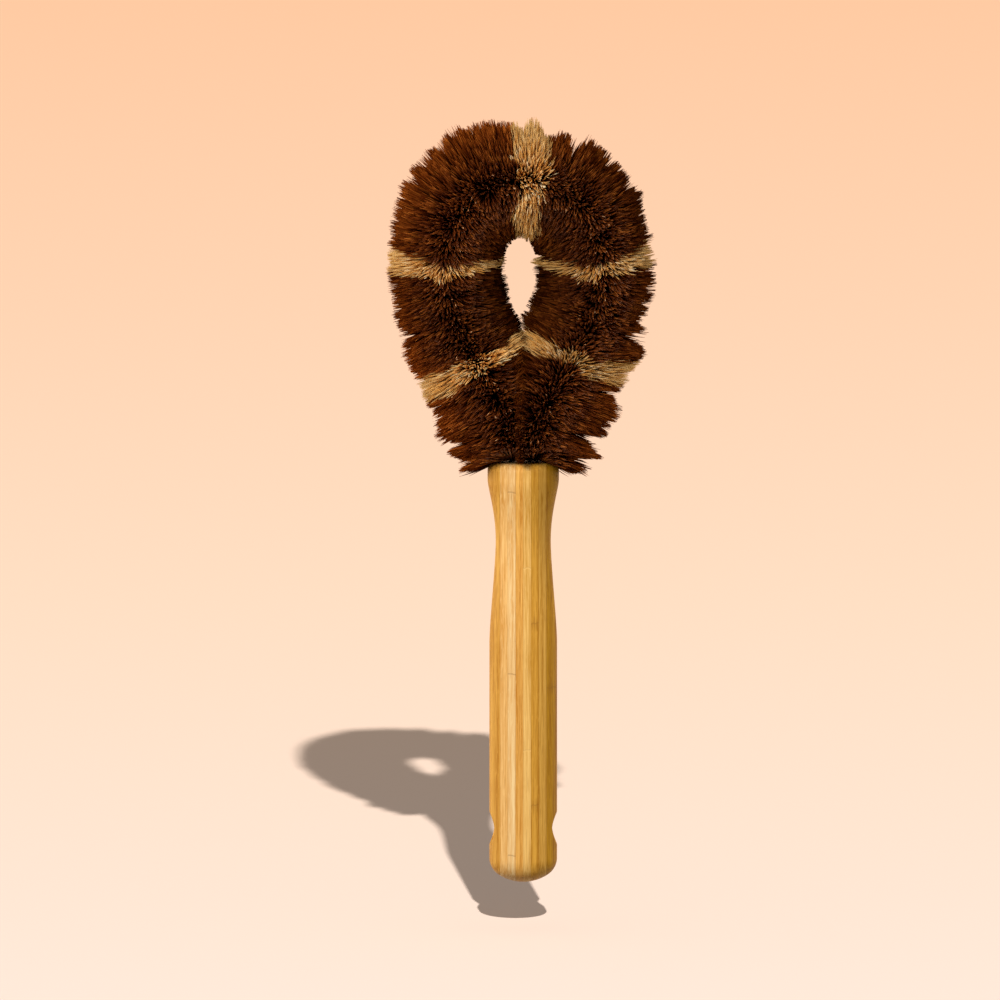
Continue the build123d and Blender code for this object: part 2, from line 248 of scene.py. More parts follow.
class BrushFibres(bpy.types.PropertyGroup):
    """The fibres that the wire clamps."""

    reach: bpy.props.FloatProperty(
        name="Reach", description="From the wire's middle to the fibre tips",
        default=20.8 * MM, unit="LENGTH",
    )
    face_share: bpy.props.FloatProperty(
        name="Face Share", description="Reach towards the front and back, as a share of the plain reach",
        default=0.88, subtype="FACTOR",
    )
    root_radius: bpy.props.FloatProperty(
        name="Root Radius", description="Radius of the packed fibre root round the wire",
        default=3.2 * MM, unit="LENGTH",
    )
    per_mm: bpy.props.FloatProperty(
        name="Fibres per Millimetre", description="How many fibres stand on a millimetre of wire",
        default=320.0,
    )
    crown_share: bpy.props.FloatProperty(
        name="Crown Share", description="How many times more fibres fan out over the crown",
        default=1.3,
    )
    sisal_share: bpy.props.FloatProperty(
        name="Sisal Share", description="How many times more fibres the pale bands have",
        default=1.25,
    )
    coir_width: bpy.props.FloatProperty(
        name="Coir Width", description="Thickness of a dark fibre at its root",
        default=0.42 * MM, unit="LENGTH",
    )
    sisal_width: bpy.props.FloatProperty(
        name="Sisal Width", description="Thickness of a pale fibre at its root",
        default=0.40 * MM, unit="LENGTH",
    )
    clump: bpy.props.FloatProperty(
        name="Clump", description="Distance between the small clumps of tips",
        default=1.4 * MM, unit="LENGTH",
    )
    clump_pull: bpy.props.FloatProperty(
        name="Clump Pull", description="How far tips are drawn into their clump",
        default=0.62, subtype="FACTOR",
    )
    tuft: bpy.props.FloatProperty(
        name="Tuft", description="Distance between the large tufts",
        default=5.0 * MM, unit="LENGTH",
    )
    tuft_pull: bpy.props.FloatProperty(
        name="Tuft Pull", description="How far tips are drawn into their tuft",
        default=0.24, subtype="FACTOR",
    )
    bow: bpy.props.FloatProperty(
        name="Bow", description="How far a fibre bows aside near its tip",
        default=0.3 * MM, unit="LENGTH",
    )
    uneven: bpy.props.FloatProperty(
        name="Uneven", description="How much shorter the shortest fibres are",
        default=2.5 * MM, unit="LENGTH",
    )
    ragged: bpy.props.FloatProperty(
        name="Ragged", description="How much whole tufts differ in reach",
        default=4.4 * MM, unit="LENGTH",
    )
    twist_pitch: bpy.props.FloatProperty(
        name="Twist Pitch", description="Wire length for one turn of the twist",
        default=12.0 * MM, unit="LENGTH",
    )
    ribbon: bpy.props.FloatProperty(
        name="Ribbon", description="How much the fibres gather in the plane of the twisted wires",
        default=0.3, subtype="FACTOR",
    )
    edge_gather: bpy.props.FloatProperty(
        name="Edge Gather", description="How much the fibres gather in the plane of the loop",
        default=0.36, subtype="FACTOR",
    )
    comb: bpy.props.FloatProperty(
        name="Comb", description="How evenly fibres stay aimed: less than 1 lets them part on the faces",
        default=0.5, subtype="FACTOR",
    )
    crown_comb: bpy.props.FloatProperty(
        name="Crown Comb", description="The same for the coir at the crown",
        default=0.75, subtype="FACTOR",
    )
    splay: bpy.props.FloatProperty(
        name="Splay", description="How far single tips stray along the wire",
        default=0.7 * MM, unit="LENGTH",
    )
    lock_lean: bpy.props.FloatProperty(
        name="Lock Lean", description="How far locks on the faces lean along the wire",
        default=12.0 * MM, unit="LENGTH",
    )
    slit_fade: bpy.props.FloatProperty(
        name="Slit Fade", description="How far along the wire a slit pushes the tips apart",
        default=3.0 * MM, unit="LENGTH",
    )
    band_fade: bpy.props.FloatProperty(
        name="Band Fade", description="How far a pale band's spread pushes its neighbours",
        default=6.0 * MM, unit="LENGTH",
    )
    shift_fade: bpy.props.FloatProperty(
        name="Shift Fade", description="How far a pale band's shift carries its neighbours",
        default=12.0 * MM, unit="LENGTH",
    )
    meeting: bpy.props.FloatProperty(
        name="Meeting Plane", description="Where the fibres of the two limbs meet, from the handle's axis",
        default=-1.2 * MM, unit="LENGTH",
    )
    mingle: bpy.props.FloatProperty(
        name="Mingle", description="How far the two limbs' fibres mingle where they meet",
        default=1.5 * MM, unit="LENGTH",
    )
    coir_dark: bpy.props.FloatVectorProperty(
        name="Coir Dark", description="Colour of the darkest coir fibres",
        subtype="COLOR", default=(0.024, 0.0034, 0.0003),
    )
    coir_light: bpy.props.FloatVectorProperty(
        name="Coir Light", description="Colour of the palest coir fibres",
        subtype="COLOR", default=(0.240, 0.071, 0.0105),
    )
    sisal_dark: bpy.props.FloatVectorProperty(
        name="Sisal Dark", description="Colour of the darkest sisal fibres",
        subtype="COLOR", default=(0.49, 0.185, 0.026),
    )
    sisal_light: bpy.props.FloatVectorProperty(
        name="Sisal Light", description="Colour of the palest sisal fibres",
        subtype="COLOR", default=(0.89, 0.735, 0.49),
    )


class BrushHandle(bpy.types.PropertyGroup):
    """The laminated bamboo handle."""

    knuckle_spacing: bpy.props.FloatProperty(
        name="Knuckle Spacing", description="Distance between the knuckles of one bamboo slat",
        default=65.0 * MM, unit="LENGTH",
    )
    roughness: bpy.props.FloatProperty(
        name="Varnish Roughness", description="Roughness of the satin varnish",
        default=0.48, subtype="FACTOR",
    )


class BrushStage(bpy.types.PropertyGroup):
    """The floor, the lamps and the camera."""

    pixel: bpy.props.FloatProperty(
        name="Pixel", description="What one pixel of the picture covers at the brush",
        default=0.3555 * MM, unit="LENGTH",
    )
    lens: bpy.props.FloatProperty(
        name="Lens", description="Focal length, in millimetres", default=1200.0,
    )
    elevation: bpy.props.FloatProperty(
        name="Elevation", description="How far the camera looks down",
        default=math.radians(6.5), subtype="ANGLE",
    )
    floor_gap: bpy.props.FloatProperty(
        name="Floor Gap", description="From the handle's butt down to the floor",
        default=17.1 * MM, unit="LENGTH",
    )


# Where the image's middle lies on the brush, in pixels of the photograph
IMAGE_SIZE = 1000
HANDLE_AXIS_PX = 523.25
HANGING_HOLE_PX = 828.0


def limb_runs(loop):
    """One limb from the handle's top to the crown: (length, turn in radians)."""
    sideways = (loop.neck_bend + loop.shoulder_bend) * (1 - math.cos(loop.splay))
    slant = (loop.half_width - loop.stem_offset - sideways) / math.sin(loop.splay)
    return [
        (loop.stem_lead, 0.0),
        (loop.neck_bend * loop.splay, loop.splay),
        (slant, 0.0),
        (loop.shoulder_bend * loop.splay, -loop.splay),
        (loop.side_run, 0.0),
        (loop.half_width * math.pi / 2, -math.pi / 2),
    ]


def limb_place(loop, along):
    """Place on the right limb, along from the handle's top."""
    x, z, lean = loop.stem_offset, handle_top, 0.0
    for length, turn in limb_runs(loop):
        step = min(max(along, 0.0), length)
        if turn:
            radius = length / turn
            after = lean + step / radius
            x += radius * (math.cos(lean) - math.cos(after))
            z += radius * (math.sin(after) - math.sin(lean))
            lean = after
        else:
            x += step * math.sin(lean)
            z += step * math.cos(lean)
        along -= step
        if along <= 0:
            break
    return Vector((x, 0.0, z))


def limb_length(loop):
    """Length of one limb, from the handle's top to the crown."""
    return sum(length for length, turn in limb_runs(loop))


def route_place(loop, along):
    """Place on the whole route, from the left limb's foot over the crown."""
    half = limb_length(loop)
    if along > half:
        return limb_place(loop, 2 * half - along)
    place = limb_place(loop, along)
    return Vector((-place.x, 0.0, place.z))


def run_cuts(loop):
    """Where the fibre runs start and stop along the route."""
    half = limb_length(loop)
    left = [
        loop.first_fibre,
        loop.lower_band,
        loop.lower_band + loop.lower_band_width,
        loop.side_band,
        loop.side_band + loop.side_band_width,
    ]
    middle = half + loop.crown_band_shift
    reach = loop.crown_band_width / 2
    return left + [middle - reach, middle + reach] + [2 * half - cut for cut in reversed(left)]


def up_limb(loop, along):
    """The limb that a place on the route is on, and how far up it."""
    half = limb_length(loop)
    return ("left", along) if along <= half else ("right", 2 * half - along)


def slit_push(loop, fibres, along):
    """How far the slits push the outer tips along the route."""
    whole = 2 * limb_length(loop)
    push = 0.0
    for limb, at_mm, half_gap_mm in SLITS:
        at = at_mm * MM if limb == "left" else whole - at_mm * MM
        away = along - at
        push += math.copysign(half_gap_mm * MM, away) * math.exp(-abs(away) / fibres.slit_fade)
    return push


def bell(value, width):
    """1 at zero, about a third at the width, and nothing well past it."""
    return math.exp(-((value / width) ** 2))


def lean_at(loop, fibres, along):
    """How far tips move along the route: on the outer side, the faces and the inner side."""
    limb, up = up_limb(loop, along)
    to_crown = 1.0 if limb == "left" else -1.0
    lean = [
        -FOOT_DROOP * MM * bell(up, FOOT_DROOP_FADE * MM) * to_crown,
        FOOT_LIFT * MM * bell(up, FOOT_LIFT_FADE * MM) * to_crown,
        0.0,
    ]
    cuts = run_cuts(loop)
    for node, start, stop in zip(FIBRE_RUNS, cuts, cuts[1:]):
        if node not in BAND_TIPS:
            continue
        spread, shift = BAND_TIPS[node]
        away, half = along - (start + stop) / 2, (stop - start) / 2
        beyond = max(abs(away) - half, 0.0)
        way = -1.0 if "right" in node else 1.0
        for zone in range(3):
            edge = min(max(away / half, -1.0), 1.0) * math.exp(-beyond / fibres.band_fade)
            lean[zone] += spread[zone] * MM * edge
            lean[zone] += shift[zone] * MM * way * bell(beyond, fibres.shift_fade)
    return lean


def read_off(table, up):
    """Reads a list of (place, value) pairs at one place, straight between its pairs."""
    up /= MM
    if up <= table[0][0]:
        return table[0][1]
    for (a, low), (b, high) in zip(table, table[1:]):
        if up <= b:
            return low + (high - low) * (up - a) / (b - a)
    return table[-1][1]


def reach_at(loop, fibres, along):
    """Share of the plain reach on the outer side, the faces and the inner side."""
    limb, up = up_limb(loop, along)
    outer = read_off(OUTER_EXTRA[limb], up) * MM
    inner = read_off(INNER_EXTRA[limb], up) * MM
    return (1 + outer / fibres.reach, fibres.face_share, 1 + inner / fibres.reach)


def parting_at(loop, fibres, along):
    """The slits' push and the turn of the twisted wires; the third part is spare."""
    turned = TURN * along / fibres.twist_pitch
    return (slit_push(loop, fibres, along), turned, 0.0)


def painted_coir_shading_at(loop, fibres, along):
    """The coir's painted light and shade on the outer side, the faces and the inner side."""
    limb, up = up_limb(loop, along)
    table = PAINTED_COIR_SHADING[limb]
    return [read_off([(place, shares[zone]) for place, shares in table], up) for zone in range(3)]


# What the route's mesh keeps at each of its points
ROUTE_FIELDS = {
    "lean": lean_at,
    "reach": reach_at,
    "parting": parting_at,
    # The painted light and shade of the coir
    "light": painted_coir_shading_at,
}


class Nodes:
    """Adds nodes to a tree, with links or plain values at their inputs."""

    def __init__(self, tree):
        self.tree = tree
        tree.nodes.clear()

    def add(self, kind, inputs=(), **settings):
        """One node with its settings, and its inputs by name or in order."""
        node = self.tree.nodes.new(kind)
        for name, value in settings.items():
            setattr(node, name, value)
        pairs = inputs.items() if isinstance(inputs, dict) else enumerate(inputs)
        for key, value in pairs:
            self.give(node.inputs[key], value)
        return node

    def give(self, socket, value):
        """Links a socket to another node's output, or sets its plain value."""
        if isinstance(value, bpy.types.NodeSocket):
            self.tree.links.new(value, socket)
        else:
            socket.default_value = value

    def math(self, operation, *values):
        return self.add("ShaderNodeMath", values, operation=operation).outputs[0]

    def plus(self, first, second):
        return self.math("ADD", first, second)

    def minus(self, first, second):
        return self.math("SUBTRACT", first, second)

    def times(self, first, second):
        return self.math("MULTIPLY", first, second)

    def vector(self, operation, *values):
        node = self.add("ShaderNodeVectorMath", operation=operation)
        for key, value in enumerate(values):
            self.give(node.inputs["Scale" if operation == "SCALE" and key else key], value)
        return node.outputs["Value" if operation in ("DOT_PRODUCT", "LENGTH") else "Vector"]

    def scaled(self, vector, by):
        return self.vector("SCALE", vector, by)

    def split(self, vector):
        """The three parts of a vector."""
        return self.add("ShaderNodeSeparateXYZ", [vector]).outputs

    def joined(self, x, y, z):
        """A vector of three parts."""
        return self.add("ShaderNodeCombineXYZ", [x, y, z]).outputs[0]

    def random(self, seed, number, low=0.0, high=1.0):
        """A random value for each point. Every draw of a tree has its own number."""
        node = self.add("FunctionNodeRandomValue", data_type="FLOAT")
        self.give(node.inputs[2], low)
        self.give(node.inputs[3], high)
        self.give(node.inputs["Seed"], self.plus(seed, number))
        return node.outputs[1]

    def noise(self, place, scale, detail):
        inputs = {"Vector": place, "Scale": scale, "Detail": detail}
        return self.add("ShaderNodeTexNoise", inputs).outputs[0]

    def carried(self, value, ends, at_ends):
        """A value carried from one range to another, and held at its ends."""
        inputs = {
            "Value": value,
            "From Min": ends[0],
            "From Max": ends[1],
            "To Min": at_ends[0],
            "To Max": at_ends[1],
        }
        return self.add("ShaderNodeMapRange", inputs).outputs[0]

    def blend(self, factor, first, second):
        """The first colour, blended into the second."""
        colours = [
            colour if isinstance(colour, bpy.types.NodeSocket) else (*colour, 1.0)
            for colour in (first, second)
        ]
        inputs = {"Factor": factor, 6: colours[0], 7: colours[1]}
        return self.add("ShaderNodeMix", inputs, data_type="RGBA").outputs[2]

    def attribute(self, name):
        """A value that the mesh keeps, in a material."""
        return self.add("ShaderNodeAttribute", attribute_name=name).outputs["Fac"]

    def store(self, geometry, name, value):
        """Keeps a value on each point, in a geometry tree."""
        inputs = {"Geometry": geometry, "Name": name, "Value": value}
        kept = {"data_type": "FLOAT", "domain": "POINT"}
        return self.add("GeometryNodeStoreNamedAttribute", inputs, **kept).outputs[0]

    def object_place(self):
        return self.add("ShaderNodeTexCoord").outputs["Object"]


def new_material(name):
    """An empty material, and its nodes."""
    material = bpy.data.materials.new(name)
    material.use_nodes = True
    return material, Nodes(material.node_tree)


# Inputs of the fibre tree
TREE_INPUTS = [
    ("Geometry", "NodeSocketGeometry"),
    ("Count", "NodeSocketInt"),
    ("Seed", "NodeSocketInt"),
    ("Reach", "NodeSocketFloat"),
    ("Root Radius", "NodeSocketFloat"),
    ("Width", "NodeSocketFloat"),
    ("Clump", "NodeSocketFloat"),
    ("Clump Pull", "NodeSocketFloat"),
    ("Tuft", "NodeSocketFloat"),
    ("Tuft Pull", "NodeSocketFloat"),
    ("Bow", "NodeSocketFloat"),
    ("Uneven", "NodeSocketFloat"),
    ("Ribbon", "NodeSocketFloat"),
    ("Edge Gather", "NodeSocketFloat"),
    ("Comb", "NodeSocketFloat"),
    ("Splay", "NodeSocketFloat"),
    ("Lock Lean", "NodeSocketFloat"),
    ("Ragged", "NodeSocketFloat"),
    ("Meeting Plane", "NodeSocketFloat"),
    ("Mingle", "NodeSocketFloat"),
    ("Material", "NodeSocketMaterial"),
]

# Towards the back of the brush
DEPTH_WAY = (0.0, 1.0, 0.0)

# The weakest and the strongest comb of single fibres add up to this
COMB_SUM = 1.9

# How rare short fibres are, and how many waves of reach and of lean lie in one tuft
SHORT_RARITY = 3.0
TUFT_WAVES = 0.9
LOCK_WAVES = 0.6

# How steeply a limb has to rise, as a share, for its tips to keep to their own side
LEAST_RISE = 0.5

# How much looser the clumps and calmer the tones are at the loop's edge, and how much
# wider the fibres of the faces are
EDGE_LOOSENESS = 0.35
EDGE_CALM = 0.15
FACE_WIDENING = 0.25

# One fibre, as shares of its width: its tip and its foot, then how its rings gather
# towards the tip, how much it swells at its middle ring, and how much widths differ
TIP_RADIUS = 0.085
FOOT_RADIUS = 0.5
RING_RISE = 0.4
MIDDLE_SWELL = 0.7
WIDTH_RANGE = (0.7, 1.25)

# Sides of the packed root round the wire
ROOT_SIDES = 16

# The least painted light that a fibre keeps, as a share of its own colour
LEAST_PAINTED_LIGHT = 0.06


def sampled(n, curve, along, name):
    """A vector that the route's mesh keeps, with the place and heading there."""
    value = n.add("GeometryNodeInputNamedAttribute", {"Name": name}, data_type="FLOAT_VECTOR")
    node = n.add("GeometryNodeSampleCurve", data_type="FLOAT_VECTOR", mode="FACTOR")
    n.give(node.inputs["Curves"], curve)
    n.give(node.inputs["Value"], value.outputs[0])
    n.give(node.inputs["Factor"], along)
    return node.outputs


def fibre_ways(n, given, wires_turn):
    """Cosine and sine of the way each fibre's root points, then the same of its tip.

    Roots gather in the plane of the twisted wires and in the plane of the loop. Tips
    are combed away from the parting on the front and back faces.
    """
    free = n.random(given["Seed"], 1, 0.0, TURN)
    off_ribbon = n.times(n.minus(free, wires_turn), 2.0)
    gather = n.times(n.math("SINE", off_ribbon), n.times(given["Ribbon"], 0.5))
    angle = n.minus(free, gather)
    doubled = n.math("SINE", n.times(angle, 2.0))
    angle = n.minus(angle, n.times(doubled, n.times(given["Edge Gather"], 0.5)))
    cosine, sine = n.math("COSINE", angle), n.math("SINE", angle)

    least = given["Comb"]
    own_comb = n.random(given["Seed"], 9, least, n.minus(COMB_SUM, least))
    aside = n.math("POWER", n.math("ABSOLUTE", cosine), own_comb)
    aside = n.times(aside, n.math("SIGN", cosine))
    spread = n.math("SQRT", n.plus(n.times(aside, aside), n.times(sine, sine)))
    return cosine, sine, n.math("DIVIDE", aside, spread), n.math("DIVIDE", sine, spread)


def pointed(n, outward, cosine, sine):
    """The direction round the wire with this cosine outwards and this sine to the back."""
    return n.vector("ADD", n.scaled(outward, cosine), n.scaled(DEPTH_WAY, sine))


def standing_tip(n, given, route, aim, weights):
    """Where each fibre's tip would stand alone, and its reach from the wire."""
    seed = given["Seed"]
    shorter = n.times(n.math("POWER", n.random(seed, 2), SHORT_RARITY), given["Uneven"])
    full = n.times(given["Reach"], n.vector("DOT_PRODUCT", route["reach"], weights))
    reach = n.minus(full, shorter)
    lone = n.vector("ADD", route["place"], n.scaled(aim, reach))
    tuft = given["Tuft"]
    patches = n.vector("DIVIDE", lone, n.joined(tuft, tuft, tuft))
    swing = n.times(n.minus(n.noise(patches, TUFT_WAVES, 1.0), 0.5), given["Ragged"])
    reach = n.plus(reach, swing)
    tip = n.vector("ADD", route["place"], n.scaled(aim, reach))
    stray = n.times(n.random(seed, 8, -1.0, 1.0), given["Splay"])
    on_faces = n.split(weights)[1]
    swirl = n.times(n.minus(n.noise(patches, LOCK_WAVES, 1.0), 0.5), on_faces)
    stray = n.plus(stray, n.times(swirl, given["Lock Lean"]))
    carried = n.plus(n.vector("DOT_PRODUCT", route["lean"], weights), stray)
    return n.vector("ADD", tip, n.scaled(route["heading"], carried)), reach


def kept_apart(n, given, route, tip, reach):
    """Stands a rising limb's tips up, at any depth, where they pass the meeting plane."""
    seed, plane = given["Seed"], given["Meeting Plane"]
    x, y, z = n.split(tip)
    from_plane = n.minus(n.split(route["place"])[0], plane)
    past = n.times(n.minus(x, plane), n.math("SIGN", from_plane))
    crossed = n.math("LESS_THAN", past, n.times(given["Mingle"], -1.0))
    rise = n.math("ABSOLUTE", n.split(route["heading"])[2])
    crossed = n.times(crossed, n.math("GREATER_THAN", rise, LEAST_RISE))
    room = n.minus(n.times(reach, reach), n.times(from_plane, from_plane))
    depth = n.math("SQRT", n.math("MAXIMUM", room, 0.0))
    depth = n.times(depth, n.math("SQRT", n.random(seed, 6)))
    mingled = n.times(n.random(seed, 7, -1.0, 1.0), given["Mingle"])
    wall = n.joined(n.plus(plane, mingled), n.times(depth, n.math("SIGN", y)), z)
    return n.vector("ADD", tip, n.scaled(n.vector("SUBTRACT", wall, tip), crossed))


def gathered(n, given, tip, edge):
    """Draws the tips into tufts and clumps, and gives the tone of each clump."""
    looseness = n.minus(1.0, n.times(edge, EDGE_LOOSENESS))
    pulls = [
        (given["Tuft"], n.times(given["Tuft Pull"], edge)),
        (given["Clump"], n.times(given["Clump Pull"], looseness)),
    ]
    for size, pull in pulls:
        scaled = n.vector("DIVIDE", tip, n.joined(size, size, size))
        cells = n.add("ShaderNodeTexVoronoi", {"Vector": scaled, "Scale": 1.0}, feature="F1")
        centre = n.scaled(cells.outputs["Position"], size)
        tip = n.vector("ADD", tip, n.scaled(n.vector("SUBTRACT", centre, tip), pull))
    return tip, n.split(cells.outputs["Color"])[0]


def unit_strand(n, given):
    """One three-sided fibre, bowed and pointed, with unit width and length.

    Its bow and its swell are full at its middle ring, three quarters of the way up.
    """
    cone = n.add(
        "GeometryNodeMeshCone",
        {
            "Vertices": 3,
            "Side Segments": 2,
            "Radius Top": TIP_RADIUS,
            "Radius Bottom": FOOT_RADIUS,
            "Depth": 1.0,
        },
    ).outputs["Mesh"]
    x, y, level = n.split(n.add("GeometryNodeInputPosition").outputs[0])
    height = n.math("POWER", level, RING_RISE)
    swell = n.times(n.times(level, n.minus(1.0, level)), 4.0)
    wider = n.plus(1.0, n.times(swell, MIDDLE_SWELL))
    bow = n.times(swell, n.math("DIVIDE", given["Bow"], given["Width"]))
    shaped = n.joined(n.plus(n.times(x, wider), bow), n.times(y, wider), height)
    strand = n.add("GeometryNodeSetPosition", {"Geometry": cone, "Position": shaped}).outputs[0]
    return n.store(strand, "along", height)


def strand_tree():
    """The tree that stands tapered fibres round a piece of the wire's route."""
    tree = bpy.data.node_groups.new("Fibre Run", "GeometryNodeTree")
    tree.interface.new_socket("Geometry", in_out="OUTPUT", socket_type="NodeSocketGeometry")
    for name, kind in TREE_INPUTS:
        tree.interface.new_socket(name, in_out="INPUT", socket_type=kind)
    n = Nodes(tree)
    given = n.add("NodeGroupInput").outputs
    seed = given["Seed"]

    # Roots at random along the route
    curve = n.add("GeometryNodeMeshToCurve", [given["Geometry"]]).outputs[0]
    points = n.add("GeometryNodePoints", {"Count": given["Count"]}).outputs[0]
    along = n.random(seed, 0)
    samples = {name: sampled(n, curve, along, name) for name in ROUTE_FIELDS}
    route = {name: outputs["Value"] for name, outputs in samples.items()}
    route["place"] = samples["lean"]["Position"]
    route["heading"] = samples["lean"]["Tangent"]
    parting = n.split(route["parting"])

    # Aim of each root and tip
    root_cosine, root_sine, cosine, sine = fibre_ways(n, given, parting[1])
    outward = n.vector("CROSS_PRODUCT", route["heading"], DEPTH_WAY)
    root_aim = pointed(n, outward, root_cosine, root_sine)
    aim = pointed(n, outward, cosine, sine)
    to_outer, to_inner = n.math("MAXIMUM", cosine, 0.0), n.math("MINIMUM", cosine, 0.0)
    facing = n.times(sine, sine)
    weights = n.joined(n.times(to_outer, to_outer), facing, n.times(to_inner, to_inner))

    # Place of each tip
    tip, reach = standing_tip(n, given, route, aim, weights)
    tip = kept_apart(n, given, route, tip, reach)
    edge = n.times(cosine, cosine)
    tip, cell_tone = gathered(n, given, tip, edge)
    push = n.times(parting[0], n.times(to_outer, to_outer))
    tip = n.vector("ADD", tip, n.scaled(route["heading"], push))

    # Size and turn of each fibre, from its root to its tip
    root = n.vector("ADD", route["place"], n.scaled(root_aim, given["Root Radius"]))
    span = n.vector("SUBTRACT", tip, root)
    length = n.vector("LENGTH", span)
    width = n.times(given["Width"], n.random(seed, 4, *WIDTH_RANGE))
    width = n.times(width, n.minus(1.0 + FACE_WIDENING, n.times(edge, FACE_WIDENING)))
    turn = n.add("FunctionNodeAlignRotationToVector", {"Vector": span}, axis="Z").outputs[0]
    roll = n.add(
        "FunctionNodeAxisAngleToRotation",
        {"Axis": (0.0, 0.0, 1.0), "Angle": n.random(seed, 3, 0.0, TURN)},
    ).outputs[0]
    turned = n.add(
        "FunctionNodeRotateRotation", {"Rotation": turn, "Rotate By": roll}, rotation_space="LOCAL"
    ).outputs[0]

    # What the material reads from each fibre
    tone = n.plus(n.times(n.random(seed, 5), 0.5), n.times(cell_tone, 0.5))
    contrast = n.minus(1.0, n.times(edge, EDGE_CALM))
    tone = n.plus(n.times(n.minus(tone, 0.5), contrast), 0.5)
    # Painted light and shade: each fibre's share of its own colour, from the route's tables
    bright = n.math("MAXIMUM", n.vector("DOT_PRODUCT", route["light"], weights), LEAST_PAINTED_LIGHT)
    points = n.add("GeometryNodeSetPosition", {"Geometry": points, "Position": root}).outputs[0]
    for name, value in (("tone", tone), ("bright", bright), ("facing", facing)):
        points = n.store(points, name, value)
    inputs = {
        "Points": points,
        "Instance": unit_strand(n, given),
        "Rotation": turned,
        "Scale": n.joined(width, width, length),
    }
    strands = n.add("GeometryNodeInstanceOnPoints", inputs).outputs[0]

    # The packed root round the wire that the fibres stand in
    circle = {"Resolution": ROOT_SIDES, "Radius": given["Root Radius"]}
    ring = n.add("GeometryNodeCurvePrimitiveCircle", circle).outputs[0]
    inputs = {"Curve": curve, "Profile Curve": ring, "Fill Caps": True}
    core = n.add("GeometryNodeCurveToMesh", inputs).outputs[0]
    both = n.add("GeometryNodeJoinGeometry")
    n.give(both.inputs[0], core)
    n.give(both.inputs[0], strands)
    real = n.add("GeometryNodeRealizeInstances", [both.outputs[0]]).outputs[0]
    smooth = n.add("GeometryNodeSetShadeSmooth", {"Geometry": real, "Shade Smooth": True})
    inputs = {"Geometry": smooth.outputs[0], "Material": given["Material"]}
    n.add("NodeGroupOutput", [n.add("GeometryNodeSetMaterial", inputs).outputs[0]])
    return tree


def route_mesh(loop, fibres, node, name, start, stop):
    """A line of points along part of the route, with how fibres lean and reach there."""
    count = max(2, round((stop - start) / (ROUTE_STEP * MM)))
    places = [start + (stop - start) * i / count for i in range(count + 1)]
    mesh = bpy.data.meshes.new(name)
    mesh.from_pydata(
        [route_place(loop, along) for along in places],
        [(i, i + 1) for i in range(count)],
        [],
    )
    for attribute, field in ROUTE_FIELDS.items():
        data = mesh.attributes.new(attribute, "FLOAT_VECTOR", "POINT").data
        for point, along in zip(data, places):
            point.vector = field(loop, fibres, along)
    # The pale bands' painted light and shade, one share for each band
    if node in PAINTED_SISAL_SHADING:
        for point in mesh.attributes["light"].data:
            point.vector = PAINTED_SISAL_SHADING[node]
    return mesh


def set_inputs(modifier, tree, values):
    """Sets a Geometry Nodes modifier's inputs by their sockets' identifiers."""
    for item in tree.interface.items_tree:
        if item.in_out == "INPUT" and item.name in values:
            modifier[item.identifier] = values[item.name]


def fibre_piece(name, tree, mesh, values):
    """Makes one piece of fibres, as a plain mesh."""
    source = bpy.data.objects.new(name + "_source", mesh)
    bpy.context.collection.objects.link(source)
    modifier = source.modifiers.new("Fibres", "NODES")
    modifier.node_group = tree
    set_inputs(modifier, tree, values)
    depsgraph = bpy.context.evaluated_depsgraph_get()
    made = bpy.data.meshes.new_from_object(source.evaluated_get(depsgraph), depsgraph=depsgraph)
    bpy.data.objects.remove(source)
    made.name = name
    piece = bpy.data.objects.new(name, made)
    bpy.context.collection.objects.link(piece)
    return piece


# Tones of the fibres: where the drawn tone starts and how it is spread, the waves per
# metre and the depth of patches across the head, the middle tone, and the ramp's stops
TONE_START = 0.1
TONE_SPREAD = 1.2
PATCH_SCALE = 160.0
PATCH_DEPTH = 0.7
MIDDLE_TONE = 0.55
RAMP_STOPS = (0.25, 0.5, 0.75)

# Painted shade and light along a fibre: where they start to change, the painted shade of the root end up
# to there, and where the painted rim light starts, which stands in for light through the tips at the
# outline
PAINTED_SHADE_START = 0.6
PAINTED_ROOT_SHADE = 0.9
PAINTED_RIM_LIGHT_START = 0.8

# Freshly cut ends: the least tone, facing and place along the fibre, and their colour
CUT_TONE = 0.9
CUT_FACING = 0.9
CUT_ALONG = 0.95
CUT_COLOUR = (0.50, 0.29, 0.15)

# Finish of the fibres
LIGHTEST = (0.96, 0.96, 0.96)
FIBRE_ROUGHNESS = 0.36
FIBRE_SHINE = (1.0, 0.76, 0.54, 1.0)


